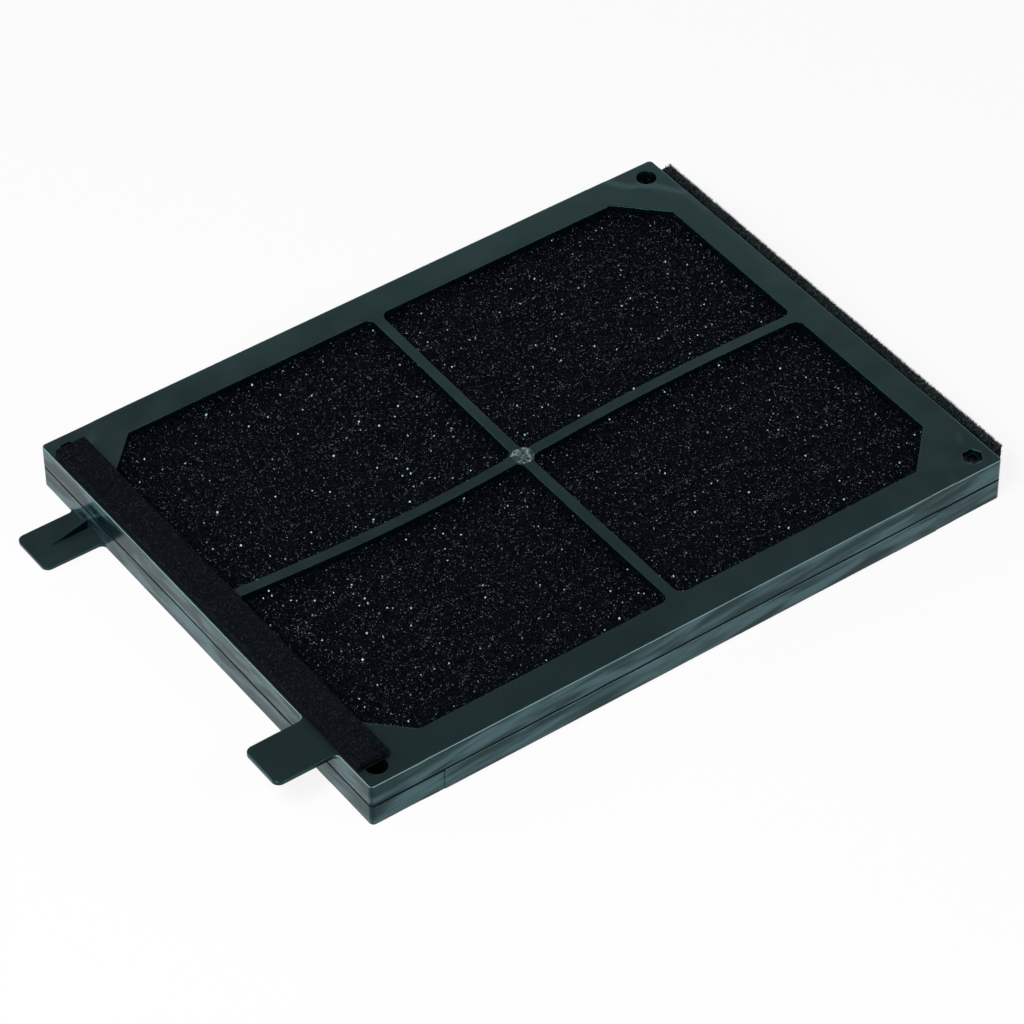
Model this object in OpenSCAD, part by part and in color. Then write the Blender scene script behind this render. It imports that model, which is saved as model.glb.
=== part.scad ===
// Replaceable activated-carbon filter cassette of a bench fume extractor.
// Two identical half shells, one turned over about the long axis, clamp a carbon mat
// between them. Four screws hold them together, two put in from above and two from below.
// X runs along the cassette with the pull tabs at -X, Z is up, and the origin is the
// centre of the bottom face.

/* [Cassette] */
// Length of the frame, without tabs and seals
cassette_l = 231; // [190:1:280]
// Width of the frame
cassette_w = 177; // [150:1:220]
// Height of each half shell
half_h = 8; // [7:0.5:10]
// Radius of the upright corner edges
corner_r = 1.5; // [1:0.5:5]
// Thickness of the side walls
wall_t = 2; // [1.8:0.1:2.5]
// Thickness of the face plate and its ribs
face_t = 2; // [1.6:0.1:2.5]

/* [Windows] */
// Width of the face plate between a window and the end of the frame
border_end = 10.1; // [8:0.1:14]
// Width of the face plate between a window and the side of the frame
border_side = 11.1; // [8:0.1:14]
// Leg of the 45 degree cut across each outer window corner
window_cut = 14.4; // [10:0.2:18]
// Width of the ribs that cross the opening
rib_w = 3.6; // [2.5:0.1:5]
// Radius in the window corners beside the ribs
rib_fillet = 3; // [1:0.1:4]
// Sideways wander of the long rib, one full wave
rib_wave = 2; // [0:0.1:3]
// Sideways bow of the long rib
rib_bow = 1.6; // [0:0.1:3]
// Sideways bow of the cross rib
cross_bow = 0.7; // [0:0.1:3]
// Diameter of the gate pad where the ribs cross
gate_d = 7.2; // [5.6:0.1:9]

/* [Seam] */
// Height of the shadow groove along the seam, both halves together
seam_gap = 0.6; // [0.2:0.1:0.8]
// Depth of the shadow groove
seam_depth = 0.6; // [0.3:0.1:0.6]
// How far the guide pad stands proud of one long wall
pad_t = 0.4; // [0.2:0.1:0.8]
// Distance from each end of the frame to the guide pad
pad_inset = 25.2; // [18:0.2:40]
// Thickness of the tongue that enters the other half
tongue_t = 0.9; // [0.7:0.1:1]
// Height of the tongue over the seam
tongue_h = 1.5; // [1:0.1:2.5]
// Clearance on every side of the tongue
tongue_clear = 0.15; // [0.1:0.05:0.25]

/* [Pull tabs] */
// Width of a tab
tab_w = 17; // [14:0.5:24]
// Length of a tab from the end wall
tab_l = 20.5; // [15:0.5:30]
// Thickness of a tab
tab_t = 1.5; // [1.2:0.1:2]
// Distance of a tab's middle from the side of the frame
tab_inset = 25.5; // [20:0.5:40]
// Radius of the outer tab corners
tab_r = 2.5; // [1:0.5:5]
// Fillet where a tab meets the end wall
tab_fillet = 1.8; // [0.5:0.1:3]
// Length of the gusset along a tab
gusset_l = 14; // [8:0.5:14.5]
// Height of the gusset at the end wall
gusset_h = 3.5; // [2:0.5:4.5]
// Thickness of the gusset
gusset_t = 1.2; // [0.8:0.1:2]

/* [Fasteners] */
// Distance of a screw's axis from the end and from the side
screw_inset = 6.5; // [5.6:0.1:8]
// Thread diameter of the screws
screw_d = 3; // [2.5:0.5:3]
// Length of a screw's thread inside its nut
thread_engage = 2; // [1.2:0.1:2.4]
// Diameter of the screw heads
head_d = 5.6; // [5:0.1:6]
// Height of the screw heads
head_h = 2; // [1.6:0.1:2.4]
// Width of the nuts across their flats
nut_af = 5.5; // [5:0.1:6]
// Height of the nuts
nut_h = 2.4; // [2:0.1:2.6]
// Depth of the round recess for a screw head
head_recess = 4.4; // [4:0.1:4.6]
// Depth of the hexagonal recess for a nut
nut_recess = 3.6; // [3:0.1:4]
// Gap around a screw head
head_clear = 0.5; // [0.2:0.05:0.6]
// Gap at each flat of a nut
nut_clear = 0.15; // [0.05:0.05:0.2]
// Gap around a screw in the shell's hole
hole_clear = 0.2; // [0.1:0.05:0.3]
// Gap between a screw and the nut's bore
thread_clear = 0.05; // [0.03:0.01:0.08]
// Wall of a corner boss around its recess
boss_wall = 1.25; // [1:0.05:1.5]

/* [Carbon mat] */
// Gap between the mat's edge and the side walls
mat_clear = 0.3; // [0.3:0.1:1]
// Gap above the mat
mat_slack = 0.2; // [0.1:0.1:0.5]
// Overlap of the mat under the slanted window edges
mat_lap = 6; // [4:0.5:7]

/* [Seals] */
// Width of the foam strip on the top face
top_seal_w = 11; // [8:0.1:11]
// Thickness of the foam strip on the top face
top_seal_t = 3; // [2:0.5:5]
// Distance of the top strip from the end of the frame
top_seal_edge = 0.6; // [0.5:0.1:2]
// Distance of the top strip's ends from the sides of the frame
top_seal_gap = 7; // [4:0.5:12]
// Distance from the end strip's lower edge to the seam
end_seal_seam = 0.5; // [0.4:0.1:2]
// Thickness of the foam strip on the end wall
end_seal_t = 4.2; // [3:0.1:6]
// Distance of the end strip from the top face
end_seal_drop = 0.5; // [0.4:0.1:1]
// Distance of the end strip's ends from the sides of the frame
end_seal_gap = 5; // [4:0.5:12]
// Thickness of the adhesive film under each strip
film_t = 0.15; // [0.1:0.05:0.3]

/* [Hidden] */

// Overshoot of a cutting body past the face that it opens
cut = 0.5;
// The guide pad stops this far under the face
pad_drop = 0.6;
// Length left open at each end of the rebate beside the tongue
tongue_end = 0.5;
// The upright corners inside the walls are never sharper than this radius
cavity_r_min = 0.5;
// Segments of round parts
$fn = 64;
// Straight stretches along each side of a rib
rib_steps = 24;

cassette_h = 2 * half_h;
cavity_r = max(corner_r - wall_t, cavity_r_min);
screw_x = cassette_l / 2 - screw_inset;
screw_y = cassette_w / 2 - screw_inset;
tab_y = cassette_w / 2 - tab_inset;
window_x = cassette_l / 2 - border_end;
window_y = cassette_w / 2 - border_side;
head_recess_d = head_d + 2 * head_clear;
nut_recess_af = nut_af + 2 * nut_clear;
hole_d = screw_d + 2 * hole_clear;
boss_d = head_recess_d + 2 * boss_wall;
screw_l = cassette_h - head_recess - nut_recess + thread_engage;
pad_l = cassette_l - 2 * pad_inset;
tongue_l = pad_l - 2 * tongue_end;
// Outer lip that covers the tongue, left standing beside the rebate
lip_t = wall_t - tongue_t - tongue_clear;
mat_l = cassette_l - 2 * wall_t - 2 * mat_clear;
mat_w = cassette_w - 2 * wall_t - 2 * mat_clear;
mat_h = cassette_h - 2 * face_t - mat_slack;
// The mat's corners are cut parallel to the slanted window edges
mat_cut = window_cut - mat_lap * sqrt(2) + (mat_l / 2 - window_x) + (mat_w / 2 - window_y);
top_seal_l = cassette_w - 2 * top_seal_gap;
end_seal_l = cassette_w - 2 * end_seal_gap;
end_seal_h = half_h - end_seal_drop - end_seal_seam;

shell_colour = [0.16, 0.20, 0.20];
carbon_colour = [0.06, 0.06, 0.08];
foam_colour = [0.15, 0.15, 0.17];
film_colour = [0.55, 0.55, 0.50];
steel_colour = [0.25, 0.25, 0.26];

// ---- flat outlines ----

module rounded_rect(l, w, r) {
    square([l - 2 * r, w], center = true);
    square([l, w - 2 * r], center = true);
    for (sx = [-1, 1], sy = [-1, 1])
        translate([sx * (l / 2 - r), sy * (w / 2 - r)]) circle(r);
}

// Rectangle whose four corners are cut at 45 degrees
module cut_rect(l, w, c) {
    polygon([[-l / 2 + c, -w / 2], [l / 2 - c, -w / 2], [l / 2, -w / 2 + c], [l / 2, w / 2 - c],
             [l / 2 - c, w / 2], [-l / 2 + c, w / 2], [-l / 2, w / 2 - c], [-l / 2, -w / 2 + c]]);
}

// Middle line of the long rib at the fraction s of its length, and of the cross rib
function long_rib_y(s) = -rib_wave * sin(360 * s) - rib_bow * sin(180 * s);
function cross_rib_x(s) = -cross_bow * sin(180 * s);
// Where the two ribs cross
hub = [cross_rib_x(0.5), long_rib_y(0.5)];

// Point i of a side's even steps, as a fraction of the length
function step(i) = i / rib_steps;
// Rib ends run this far into the border so that they join it
rib_end = rib_w / 2;

module long_rib() {
    x0 = window_x + rib_end;
    near = [for (i = [0:rib_steps])
            [-x0 + 2 * x0 * step(i), long_rib_y(step(i)) - rib_w / 2]];
    far = [for (i = [rib_steps:-1:0])
           [-x0 + 2 * x0 * step(i), long_rib_y(step(i)) + rib_w / 2]];
    polygon(concat(near, far));
}

module cross_rib() {
    y0 = window_y + rib_end;
    left = [for (i = [0:rib_steps])
            [cross_rib_x(step(i)) - rib_w / 2, -y0 + 2 * y0 * step(i)]];
    right = [for (i = [rib_steps:-1:0])
             [cross_rib_x(step(i)) + rib_w / 2, -y0 + 2 * y0 * step(i)]];
    polygon(concat(left, right));
}

// Fills the inside corner at the origin that opens to the quadrant (sx, sy), with an arc of
// radius r. It laps the sides of that corner by the given amount.
module corner_fillet(sx, sy, r, lap) {
    difference() {
        translate([sx > 0 ? -lap : -r, sy > 0 ? -lap : -r]) square(r + lap);
        translate([sx * r, sy * r]) circle(r);
    }
}

// The two ribs with fillets at their ends and where they cross
module rib_cross() {
    long_rib();
    cross_rib();
    translate(hub) circle(d = gate_d);
    for (sx = [-1, 1], sy = [-1, 1]) {
        translate([hub[0] + sx * rib_w / 2, hub[1] + sy * rib_w / 2])
            corner_fillet(sx, sy, rib_fillet, rib_w / 3);
        translate([sx * window_x, sy * rib_w / 2]) corner_fillet(-sx, sy, rib_fillet, rib_w / 3);
        translate([sx * rib_w / 2, sy * window_y]) corner_fillet(sx, -sy, rib_fillet, rib_w / 3);
    }
}

module windows() {
    difference() {
        cut_rect(2 * window_x, 2 * window_y, window_cut);
        rib_cross();
    }
}

// ---- one half shell, face up, seam at z = 0 ----

module pull_tab() {
    root = -cassette_l / 2 + wall_t / 2;
    tip = -cassette_l / 2 - tab_l;
    translate([0, -tab_y, half_h - tab_t]) linear_extrude(tab_t) {
        translate([tip + tab_r, -tab_w / 2]) square([root - tip - tab_r, tab_w]);
        translate([tip, -tab_w / 2 + tab_r]) square([tab_r, tab_w - 2 * tab_r]);
        for (s = [-1, 1]) {
            translate([tip + tab_r, s * (tab_w / 2 - tab_r)]) circle(tab_r);
            translate([-cassette_l / 2, s * tab_w / 2])
                corner_fillet(-1, s, tab_fillet, wall_t / 2);
        }
    }
    // Gusset under the tab, tapering to nothing along it
    translate([-cassette_l / 2, -tab_y + gusset_t / 2, half_h - tab_t]) rotate([90, 0, 0])
        linear_extrude(gusset_t)
            polygon([[wall_t / 2, tab_t / 2], [-gusset_l, tab_t / 2], [-gusset_l, 0],
                     [0, -gusset_h], [wall_t / 2, -gusset_h]]);
}

module corner_bosses() {
    for (sx = [-1, 1], sy = [-1, 1])
        translate([sx * screw_x, sy * screw_y, 0]) cylinder(h = half_h - face_t / 2, d = boss_d);
}

// Round recesses on one diagonal, hexagonal ones on the other, and a hole through each
module fastener_recesses() {
    for (sx = [-1, 1], sy = [-1, 1]) translate([sx * screw_x, sy * screw_y, 0]) {
        translate([0, 0, -cut]) cylinder(h = half_h + 2 * cut, d = hole_d);
        if (sx * sy > 0)
            translate([0, 0, half_h - head_recess]) cylinder(h = head_recess + cut, d = head_recess_d);
        else
            translate([0, 0, half_h - nut_recess]) hex(nut_recess + cut, nut_recess_af);
    }
}

// Hexagonal prism with two corners along X
module hex(h, af) {
    cylinder(h = h, d = af / cos(30), $fn = 6);
}

// Pad on the outside of one long wall that guides the cassette in its slot
module guide_pad() {
    translate([-pad_l / 2, cassette_w / 2 - wall_t / 2, 0])
        cube([pad_l, wall_t / 2 + pad_t, half_h - pad_drop]);
}

// Tongue on the inside of the same wall
module tongue() {
    translate([-tongue_l / 2, cassette_w / 2 - wall_t, -tongue_h])
        cube([tongue_l, tongue_t, tongue_h + half_h / 2]);
}

// Rebate inside the other long wall, for the tongue of the facing half
module rebate() {
    translate([-pad_l / 2, -cassette_w / 2 + lip_t, -cut])
        cube([pad_l, wall_t - lip_t + cut, cut + tongue_h + tongue_clear]);
}

module seam_groove() {
    translate([0, 0, -cut]) linear_extrude(cut + seam_gap / 2) difference() {
        square([cassette_l + 10 * wall_t, cassette_w + 10 * wall_t], center = true);
        rounded_rect(cassette_l - 2 * seam_depth, cassette_w - 2 * seam_depth, corner_r - seam_depth);
    }
}

module half_shell() {
    color(shell_colour) difference() {
        union() {
            difference() {
                linear_extrude(half_h) rounded_rect(cassette_l, cassette_w, corner_r);
                translate([0, 0, -cut]) linear_extrude(half_h - face_t + cut)
                    rounded_rect(cassette_l - 2 * wall_t, cassette_w - 2 * wall_t, cavity_r);
                seam_groove();
            }
            corner_bosses();
            // Added after the groove, which the pad closes along its own half
            guide_pad();
            tongue();
            pull_tab();
        }
        translate([0, 0, half_h - face_t - cut]) linear_extrude(face_t + 2 * cut) windows();
        fastener_recesses();
        rebate();
    }
}

// ---- the pieces in place ----

module upper_shell() {
    translate([0, 0, half_h]) half_shell();
}

module lower_shell() {
    translate([0, 0, half_h]) rotate([180, 0, 0]) half_shell();
}

module carbon_mat() {
    color(carbon_colour) translate([0, 0, face_t]) linear_extrude(mat_h)
        cut_rect(mat_l, mat_w, mat_cut);
}

module top_strip(z, t) {
    translate([-cassette_l / 2 + top_seal_edge, -top_seal_l / 2, z]) cube([top_seal_w, top_seal_l, t]);
}

module end_strip(x, t) {
    translate([x, -end_seal_l / 2, cassette_h - end_seal_drop - end_seal_h])
        cube([t, end_seal_l, end_seal_h]);
}

module top_seal_adhesive() { color(film_colour) top_strip(cassette_h, film_t); }
module top_seal_foam() { color(foam_colour) top_strip(cassette_h + film_t, top_seal_t); }
module end_seal_adhesive() { color(film_colour) end_strip(cassette_l / 2, film_t); }
module end_seal_foam() { color(foam_colour) end_strip(cassette_l / 2 + film_t, end_seal_t); }

// Pan-head screw with a cross recess, head up, the head's underside at z = 0
module screw() {
    slot_w = head_d / 7;
    slot_l = head_d * 0.6;
    slot_depth = head_h * 0.55;
    rim = head_h / 4;
    color(steel_colour) difference() {
        union() {
            cylinder(h = head_h - rim, d = head_d);
            translate([0, 0, head_h - rim]) cylinder(h = rim, d1 = head_d, d2 = head_d - 2 * rim);
            translate([0, 0, -screw_l + screw_d / 6]) cylinder(h = screw_l, d = screw_d);
            translate([0, 0, -screw_l]) cylinder(h = screw_d / 6, d1 = screw_d * 2 / 3, d2 = screw_d);
        }
        for (a = [0, 90]) rotate([0, 0, a])
            translate([-slot_l / 2, -slot_w / 2, head_h - slot_depth])
                cube([slot_l, slot_w, slot_depth + cut]);
    }
}

// Nut seated on the floor of its recess: bottom face at z = 0, corners chamfered
module nut() {
    across = nut_af / cos(30);
    color(steel_colour) difference() {
        intersection() {
            hex(nut_h, nut_af);
            union() {
                cylinder(h = nut_h / 6, d1 = nut_af, d2 = across);
                translate([0, 0, nut_h / 6]) cylinder(h = nut_h * 2 / 3, d = across);
                translate([0, 0, nut_h * 5 / 6]) cylinder(h = nut_h / 6, d1 = across, d2 = nut_af);
            }
        }
        translate([0, 0, -cut]) cylinder(h = nut_h + 2 * cut, d = screw_d + 2 * thread_clear);
    }
}

// Places a fastener at the corner (sx, sy), with its outer end up or down
module at_corner(sx, sy, up, depth) {
    translate([sx * screw_x, sy * screw_y, up ? cassette_h - depth : depth])
        rotate([up ? 0 : 180, 0, 0]) children();
}

module screw_front_right() { at_corner(-1, -1, true, head_recess) screw(); }
module screw_rear_left() { at_corner(1, 1, true, head_recess) screw(); }
module screw_front_left() { at_corner(-1, 1, false, head_recess) screw(); }
module screw_rear_right() { at_corner(1, -1, false, head_recess) screw(); }
module nut_front_left() { at_corner(-1, 1, true, nut_recess) nut(); }
module nut_rear_right() { at_corner(1, -1, true, nut_recess) nut(); }
module nut_front_right() { at_corner(-1, -1, false, nut_recess) nut(); }
module nut_rear_left() { at_corner(1, 1, false, nut_recess) nut(); }

upper_shell();
lower_shell();
carbon_mat();
top_seal_foam();
top_seal_adhesive();
end_seal_foam();
end_seal_adhesive();
screw_front_right();
screw_rear_left();
screw_front_left();
screw_rear_right();
nut_front_left();
nut_rear_right();
nut_front_right();
nut_rear_left();
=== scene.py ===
"""Looks of a replaceable activated-carbon filter cassette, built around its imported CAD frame."""
import logging
import math
import random
from collections.abc import Callable, Iterable
from dataclasses import dataclass, field
from enum import Enum

import bmesh
import bpy
from mathutils import Euler, Matrix, Vector, noise


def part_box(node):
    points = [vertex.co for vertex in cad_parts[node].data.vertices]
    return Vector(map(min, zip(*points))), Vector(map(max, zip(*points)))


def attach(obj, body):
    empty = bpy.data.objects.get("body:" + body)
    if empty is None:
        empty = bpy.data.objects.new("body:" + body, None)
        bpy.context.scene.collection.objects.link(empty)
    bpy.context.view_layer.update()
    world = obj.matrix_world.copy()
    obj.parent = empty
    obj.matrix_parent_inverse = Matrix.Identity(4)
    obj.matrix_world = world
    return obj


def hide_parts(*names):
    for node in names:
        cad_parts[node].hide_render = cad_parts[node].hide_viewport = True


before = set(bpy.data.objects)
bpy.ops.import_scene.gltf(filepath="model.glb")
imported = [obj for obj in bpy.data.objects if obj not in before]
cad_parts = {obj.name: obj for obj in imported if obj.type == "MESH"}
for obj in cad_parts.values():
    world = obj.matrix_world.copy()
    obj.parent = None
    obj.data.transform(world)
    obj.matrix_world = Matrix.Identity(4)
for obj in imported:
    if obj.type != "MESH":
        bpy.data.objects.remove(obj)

LOG = logging.getLogger("filter_cassette")
MM = 0.001
Colour = tuple[float, float, float]


# ---- small helpers ----


def link(obj: bpy.types.Object) -> bpy.types.Object:
    """Puts an object in the scene and returns it."""
    bpy.context.scene.collection.objects.link(obj)
    return obj


def to_object(bm: bmesh.types.BMesh, name: str, *materials: bpy.types.Material) -> bpy.types.Object:
    """Turns a finished bmesh into an object at the origin.

    Args:
        bm: The mesh being built; it is freed here.
        name: The piece's name.
        materials: What fills its material slots, in order.

    Returns:
        The new object, linked to the scene.
    """
    mesh = bpy.data.meshes.new(name)
    bm.to_mesh(mesh)
    bm.free()
    for material in materials:
        mesh.materials.append(material)
    return link(bpy.data.objects.new(name, mesh))


def frozen(obj: bpy.types.Object) -> bmesh.types.BMesh:
    """Applies an object's modifiers and takes the object away.

    Args:
        obj: The object with modifiers.

    Returns:
        A bmesh of the evaluated shape.
    """
    graph = bpy.context.evaluated_depsgraph_get()
    mesh = bpy.data.meshes.new_from_object(obj.evaluated_get(graph))
    bm = bmesh.new()
    bm.from_mesh(mesh)
    bpy.data.meshes.remove(mesh)
    bpy.data.objects.remove(obj)
    return bm


def remeshed(obj: bpy.types.Object, voxel: float) -> bmesh.types.BMesh:
    """Remakes a closed object in even voxels and takes the object away.

    Args:
        obj: The closed object.
        voxel: The size of a voxel.

    Returns:
        A bmesh of the new shape, with its normals up to date.
    """
    remesh = obj.modifiers.new("remesh", "REMESH")
    remesh.mode = "VOXEL"
    remesh.voxel_size = voxel
    bm = frozen(obj)
    bm.normal_update()
    return bm


def displace(bm: bmesh.types.BMesh, shift: Callable[[bmesh.types.BMVert], Vector]) -> None:
    """Moves each vertex by what shift gives for it, all worked out before the first one moves."""
    moves = [shift(v) for v in bm.verts]
    for v, move in zip(bm.verts, moves):
        v.co += move


def middle_of(edge: bmesh.types.BMEdge) -> Vector:
    """The middle point of an edge."""
    return (edge.verts[0].co + edge.verts[1].co) / 2


def merged_copy(node: str) -> bmesh.types.BMesh:
    """Copies a CAD node's loose triangles into one closed mesh with large flat faces.

    Args:
        node: The CAD node's name.

    Returns:
        The closed mesh.
    """
    bm = bmesh.new()
    bm.from_mesh(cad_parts[node].data)
    bmesh.ops.remove_doubles(bm, verts=bm.verts, dist=0.001 * MM)
    bmesh.ops.dissolve_limit(bm, angle_limit=math.radians(0.5), verts=bm.verts, edges=bm.edges)
    return bm


def slice_faces(bm: bmesh.types.BMesh, axis: int, spacing: float,
                chosen: Callable[[bmesh.types.BMFace], bool]) -> None:
    """Cuts the chosen faces by evenly spaced planes, so that they can take a soft relief.

    Args:
        bm: The mesh to cut.
        axis: 0, 1 or 2 for planes across X, Y or Z.
        spacing: The distance between planes.
        chosen: Says which faces are cut.
    """
    active = [f for f in bm.faces if chosen(f)]
    if not active:
        return
    low = min(v.co[axis] for f in active for v in f.verts)
    high = max(v.co[axis] for f in active for v in f.verts)
    across = Vector([float(i == axis) for i in range(3)])
    for step in range(1, math.ceil((high - low) / spacing)):
        place = low + step * spacing
        active = [f for f in active if f.is_valid and max(v.co[axis] for v in f.verts) > place]
        edges = {e for f in active for e in f.edges}
        corners = {v for f in active for v in f.verts}
        cut = bmesh.ops.bisect_plane(bm, geom=[*corners, *edges, *active], dist=0.002 * MM,
                                     plane_co=across * place, plane_no=across)
        active = [g for g in cut["geom"] if isinstance(g, bmesh.types.BMFace)]


def round_edges(bm: bmesh.types.BMesh, edges: Iterable[bmesh.types.BMEdge], radius: float,
                segments: int) -> None:
    """Rounds sharp edges.

    Args:
        bm: The mesh.
        edges: The edges to round.
        radius: How far the rounding reaches from the edge.
        segments: The number of faces across it.
    """
    bmesh.ops.bevel(bm, geom=list(edges), offset=radius, offset_type="OFFSET", segments=segments,
                    profile=0.5, affect="EDGES", material=-1, loop_slide=False, clamp_overlap=False)


def add_shard(bm: bmesh.types.BMesh, place: Matrix, root: float, tip: float, length: float,
              material: int = 0) -> None:
    """Adds a small closed three-sided spike. Made by hand, as thousands go into one mesh.

    Args:
        bm: The mesh that takes it.
        place: Where its middle lies and how it is turned, with its length along Z.
        root: The radius of its lower end.
        tip: The radius of its upper end.
        length: Its length.
        material: The material slot of its faces.
    """
    rings = []
    for radius, level in ((root, -length / 2), (tip, length / 2)):
        turns = [2 * math.pi * i / 3 for i in range(3)]
        rings.append([bm.verts.new(place @ Vector((radius * math.cos(a), radius * math.sin(a), level)))
                      for a in turns])
    low, high = rings
    faces = [bm.faces.new(low[::-1]), bm.faces.new(high)]
    faces += [bm.faces.new((low[i], low[i - 2], high[i - 2], high[i])) for i in range(3)]
    for face in faces:
        face.material_index = material


def shade(bm: bmesh.types.BMesh, sharp_from: float = 35.0) -> None:
    """Shades the mesh smooth, with every edge over the given angle in degrees kept sharp."""
    for face in bm.faces:
        face.smooth = True
    for edge in bm.edges:
        edge.smooth = edge.calc_face_angle(0.0) < math.radians(sharp_from)


def even_normals(obj: bpy.types.Object) -> None:
    """Lets large flat faces set the shading of the roundings beside them."""
    modifier = obj.modifiers.new("even_normals", "WEIGHTED_NORMAL")
    modifier.keep_sharp = True
    modifier.weight = 60


# ---- finishes ----


class Graph:
    """Writes the nodes of one material."""

    def __init__(self, name: str) -> None:
        """Starts an empty material of that name."""
        self.material = bpy.data.materials.new(name)
        self.material.use_nodes = True
        self.tree = self.material.node_tree
        self.tree.nodes.clear()
        self.output = self.tree.nodes.new("ShaderNodeOutputMaterial")
        self.place = self.node("ShaderNodeTexCoord").outputs["Object"]

    def node(self, kind: str, inputs: dict | None = None, **settings) -> bpy.types.Node:
        """Adds a node.

        Args:
            kind: Blender's name for the node type.
            inputs: Socket name or number to a plain value or to another node's output.
            settings: The node's own properties.

        Returns:
            The new node.
        """
        made = self.tree.nodes.new(kind)
        for key, value in settings.items():
            setattr(made, key, value)
        for socket, value in (inputs or {}).items():
            if isinstance(value, bpy.types.NodeSocket):
                self.tree.links.new(value, made.inputs[socket])
            else:
                made.inputs[socket].default_value = value
        return made

    def stretched(self, scale: Colour, turn: Colour = (0.0, 0.0, 0.0)) -> bpy.types.NodeSocket:
        """Object coordinates after a turn in degrees and a scale along each axis."""
        turned = self.node("ShaderNodeMapping", {
            "Vector": self.place, "Rotation": tuple(math.radians(a) for a in turn)})
        return self.node("ShaderNodeMapping", {
            "Vector": turned.outputs["Vector"], "Scale": scale}).outputs["Vector"]

    def noise(self, grain: float, detail: float = 2.0, roughness: float = 0.5, swirl: float = 0.0,
              vector: bpy.types.NodeSocket | None = None) -> bpy.types.NodeSocket:
        """A soft noise whose features are about the given size across, from 0 to 1."""
        return self.node("ShaderNodeTexNoise", {
            "Vector": vector or self.place, "Scale": 1.0 / grain, "Detail": detail,
            "Roughness": roughness, "Distortion": swirl}).outputs["Fac"]

    def cells(self, grain: float, output: str = "Distance", feature: str = "F1",
              vector: bpy.types.NodeSocket | None = None) -> bpy.types.NodeSocket:
        """A cell pattern with cells of the given size."""
        return self.node("ShaderNodeTexVoronoi", {
            "Vector": vector or self.place, "Scale": 1.0 / grain}, feature=feature).outputs[output]

    def span(self, value: bpy.types.NodeSocket, low: float, high: float, to_low: float = 0.0,
             to_high: float = 1.0) -> bpy.types.NodeSocket:
        """Maps a value smoothly from one range to another, held at both ends."""
        return self.node("ShaderNodeMapRange", {
            "Value": value, "From Min": low, "From Max": high, "To Min": to_low,
            "To Max": to_high}, interpolation_type="SMOOTHSTEP").outputs["Result"]

    def maths(self, operation: str, first: object, second: object = 0.0) -> bpy.types.NodeSocket:
        """One arithmetic step on two values or sockets."""
        return self.node("ShaderNodeMath", {0: first, 1: second},
                         operation=operation).outputs["Value"]

    def mix(self, factor: object, first: object, second: object) -> bpy.types.NodeSocket:
        """Mixes two colours.

        Args:
            factor: The second colour's share.
            first: A colour or a socket.
            second: A colour or a socket.

        Returns:
            The mixed colour.
        """
        made = self.node("ShaderNodeMix", {0: factor}, data_type="RGBA")
        for socket, value in ((6, first), (7, second)):
            if isinstance(value, bpy.types.NodeSocket):
                self.tree.links.new(value, made.inputs[socket])
            else:
                made.inputs[socket].default_value = (*value, 1.0)
        return made.outputs[2]

    def bump(self, height: bpy.types.NodeSocket, depth: float, strength: float = 1.0,
             under: bpy.types.NodeSocket | None = None) -> bpy.types.NodeSocket:
        """A relief of the given depth in metres, on top of another relief."""
        inputs = {"Height": height, "Distance": depth, "Strength": strength}
        if under is not None:
            inputs["Normal"] = under
        return self.node("ShaderNodeBump", inputs).outputs["Normal"]

    def finish(self, inputs: dict) -> bpy.types.Material:
        """Closes the material with one principled shader.

        Args:
            inputs: The shader's sockets.

        Returns:
            The material.
        """
        shader = self.node("ShaderNodeBsdfPrincipled", inputs)
        self.tree.links.new(shader.outputs["BSDF"], self.output.inputs["Surface"])
        return self.material


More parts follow.
